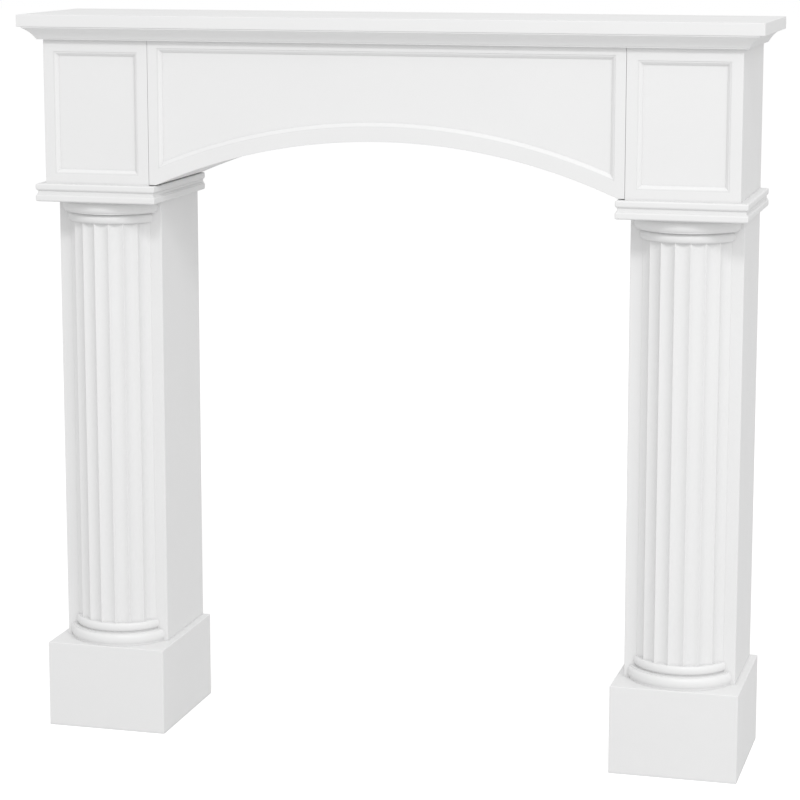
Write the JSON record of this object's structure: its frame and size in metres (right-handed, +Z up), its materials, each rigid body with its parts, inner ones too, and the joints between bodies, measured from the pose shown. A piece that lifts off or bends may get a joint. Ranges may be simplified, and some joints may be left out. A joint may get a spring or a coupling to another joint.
{
  "type": "fireplace mantelpiece",
  "caption": "Painted fireplace surround: moulded shelf over an arched header with sunk panels, on box legs that carry engaged fluted columns, caps and plinth blocks.",
  "frame": {"origin": "on the floor, under the middle of the shelf's width and depth", "axes": "+X to the right seen from the room, +Y into the wall, +Z up; the face looks along -Y"},
  "size_m": [1.22, 0.264, 1.208],
  "materials": {
    "paint": "white satin paint over board and turned wood"
  },
  "bodies": {
    "root": {"shelf_board": "paint", "crown_front": "paint", "crown_left": "paint", "crown_right": "paint", "arch_panel": "paint", "arch_lining": "paint", "header_left_front": "paint", "header_left_side": "paint", "header_right_front": "paint", "header_right_side": "paint", "cap_left": "paint", "cap_right": "paint", "leg_left_front": "paint", "leg_left_outer_side": "paint", "leg_left_inner_side": "paint", "leg_right_front": "paint", "leg_right_outer_side": "paint", "leg_right_inner_side": "paint", "column_left": "paint", "column_right": "paint", "neck_rings_left": "paint", "neck_rings_right": "paint", "base_rings_left": "paint", "base_rings_right": "paint", "plinth_left_top": "paint", "plinth_left_front": "paint", "plinth_left_outer_side": "paint", "plinth_left_inner_side": "paint", "plinth_right_top": "paint", "plinth_right_front": "paint", "plinth_right_outer_side": "paint", "plinth_right_inner_side": "paint"}
  },
  "joints": []
}
